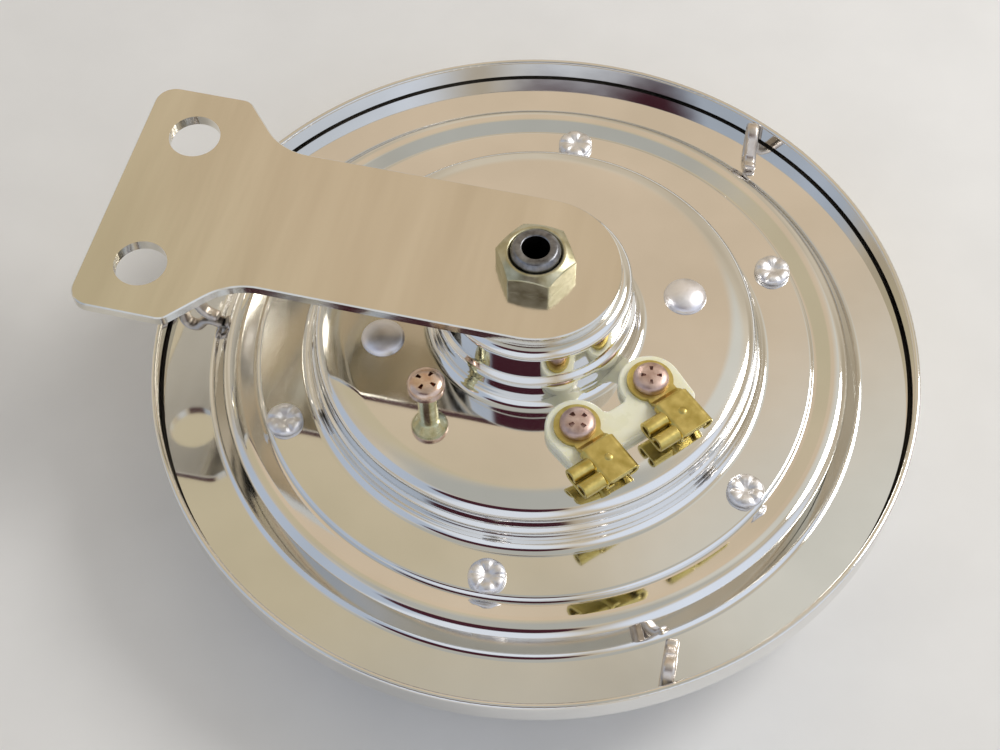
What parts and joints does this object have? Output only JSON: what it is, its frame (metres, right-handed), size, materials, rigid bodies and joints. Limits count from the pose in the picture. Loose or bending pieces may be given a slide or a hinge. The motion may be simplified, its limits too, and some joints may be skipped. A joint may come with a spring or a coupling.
{
  "type": "car horn",
  "caption": "Chrome disc horn for a car: round bezel with rear plate, drum housing, flat two hole mounting bracket and push on terminals.",
  "frame": {"origin": "midway between the two bolt holes of the mounting bracket, on the bracket's rear face", "axes": "+Z out of the bracket's rear face, along the horn's axis towards the rear; +X along the bracket from its holes to the horn's axis; +Y along the line of the two holes"},
  "size_m": [0.167, 0.16, 0.0605],
  "materials": {
    "chrome_plate": "polished chrome plate",
    "yellow_zinc": "pale yellow passivated zinc",
    "stud_steel": "dark oiled steel",
    "nickel_plate": "dull nickel plate",
    "copper_zinc": "pink tinted passivated zinc",
    "brass": "bright stamped brass",
    "nylon": "natural nylon",
    "spring_steel": "blued spring steel",
    "core_steel": "zinc plated soft iron",
    "copper_wire": "enamelled copper wire",
    "gasket_board": "oiled gasket board",
    "pressed_board": "pressed laminate",
    "silver_point": "silver contact",
    "wire_sleeve": "sleeved wire"
  },
  "bodies": {
    "horn": {"front_bezel": "chrome_plate", "front_grille": "chrome_plate", "rear_plate": "chrome_plate", "drum_housing": "chrome_plate", "mounting_bracket": "chrome_plate", "flange_rivets": "nickel_plate", "dome_rivets": "nickel_plate", "retaining_clips": "nickel_plate", "mounting_stud": "stud_steel", "stud_nut": "yellow_zinc", "terminal_screws": "copper_zinc", "terminal_insulator": "nylon", "terminal_bushes": "nylon", "coil_bobbin": "nylon", "terminal_tab_a": "brass", "terminal_tab_b": "brass", "push_connector_a": "brass", "push_connector_b": "brass", "terminal_nuts": "brass", "diaphragm": "spring_steel", "moving_contact_arm": "brass", "fixed_contact_arm": "brass", "moving_contact_point": "silver_point", "fixed_contact_point": "silver_point", "clamp_ring": "core_steel", "carrier_plate": "core_steel", "pole_core": "core_steel", "stack_rivet": "core_steel", "coil_winding": "copper_wire", "gasket_rear": "gasket_board", "gasket_front": "gasket_board", "stack_insulators": "pressed_board", "lead_fixed_arm": "wire_sleeve", "lead_moving_arm": "wire_sleeve", "lead_coil": "wire_sleeve"},
    "vibrator": {"armature": "core_steel", "armature_pusher": "nylon", "spacer_sleeve": "core_steel", "tone_disc": "spring_steel", "armature_nut": "core_steel"},
    "adjuster": {"adjusting_screw": "copper_zinc"}
  },
  "joints": [
    {"name": "armature_stroke", "type": "slide", "parent": "horn", "child": "vibrator", "axis": [0, 0, 1], "range_m": [0, 0.0005], "stiffness_N_per_m": 4000, "deforming": ["diaphragm", "moving_contact_arm"]},
    {"name": "adjusting_screw_turn", "type": "hinge", "parent": "horn", "child": "adjuster", "pos_m": [0.0598, -0.02544, -0.0176], "axis": [0, 0, 1], "range_deg": [-360, 360]}
  ]
}
